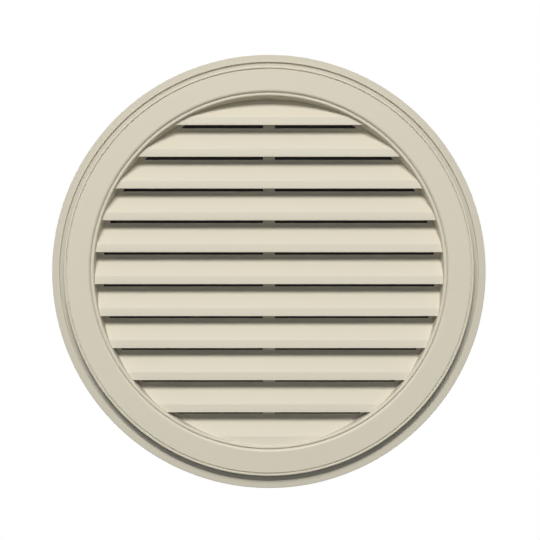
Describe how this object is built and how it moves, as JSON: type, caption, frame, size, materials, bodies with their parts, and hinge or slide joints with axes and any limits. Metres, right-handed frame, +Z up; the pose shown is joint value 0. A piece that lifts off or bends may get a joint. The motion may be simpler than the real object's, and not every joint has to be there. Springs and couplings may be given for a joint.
{
  "type": "round gable vent",
  "caption": "Round louvred gable vent with a raised ring, fixed sloping blades, a mounting flange with a collar and an insect screen behind the blades.",
  "frame": {"origin": "centre of the screw circle on the wall plane, which is the back face of the mounting flange", "axes": "+Y into the wall along the vent's axis, +Z up, +X to the right of someone who faces the vent"},
  "size_m": [0.5588, 0.0386, 0.5588],
  "materials": {
    "cream_plastic": "moulded through in cream, fine satin skin",
    "screen_cloth": "charcoal coated glass-fibre mesh, matt"
  },
  "bodies": {
    "root": {"mounting_flange": "cream_plastic", "wall_collar": "cream_plastic", "face_ring": "cream_plastic", "louvre_panel": "cream_plastic", "insect_screen": "screen_cloth"}
  },
  "joints": []
}
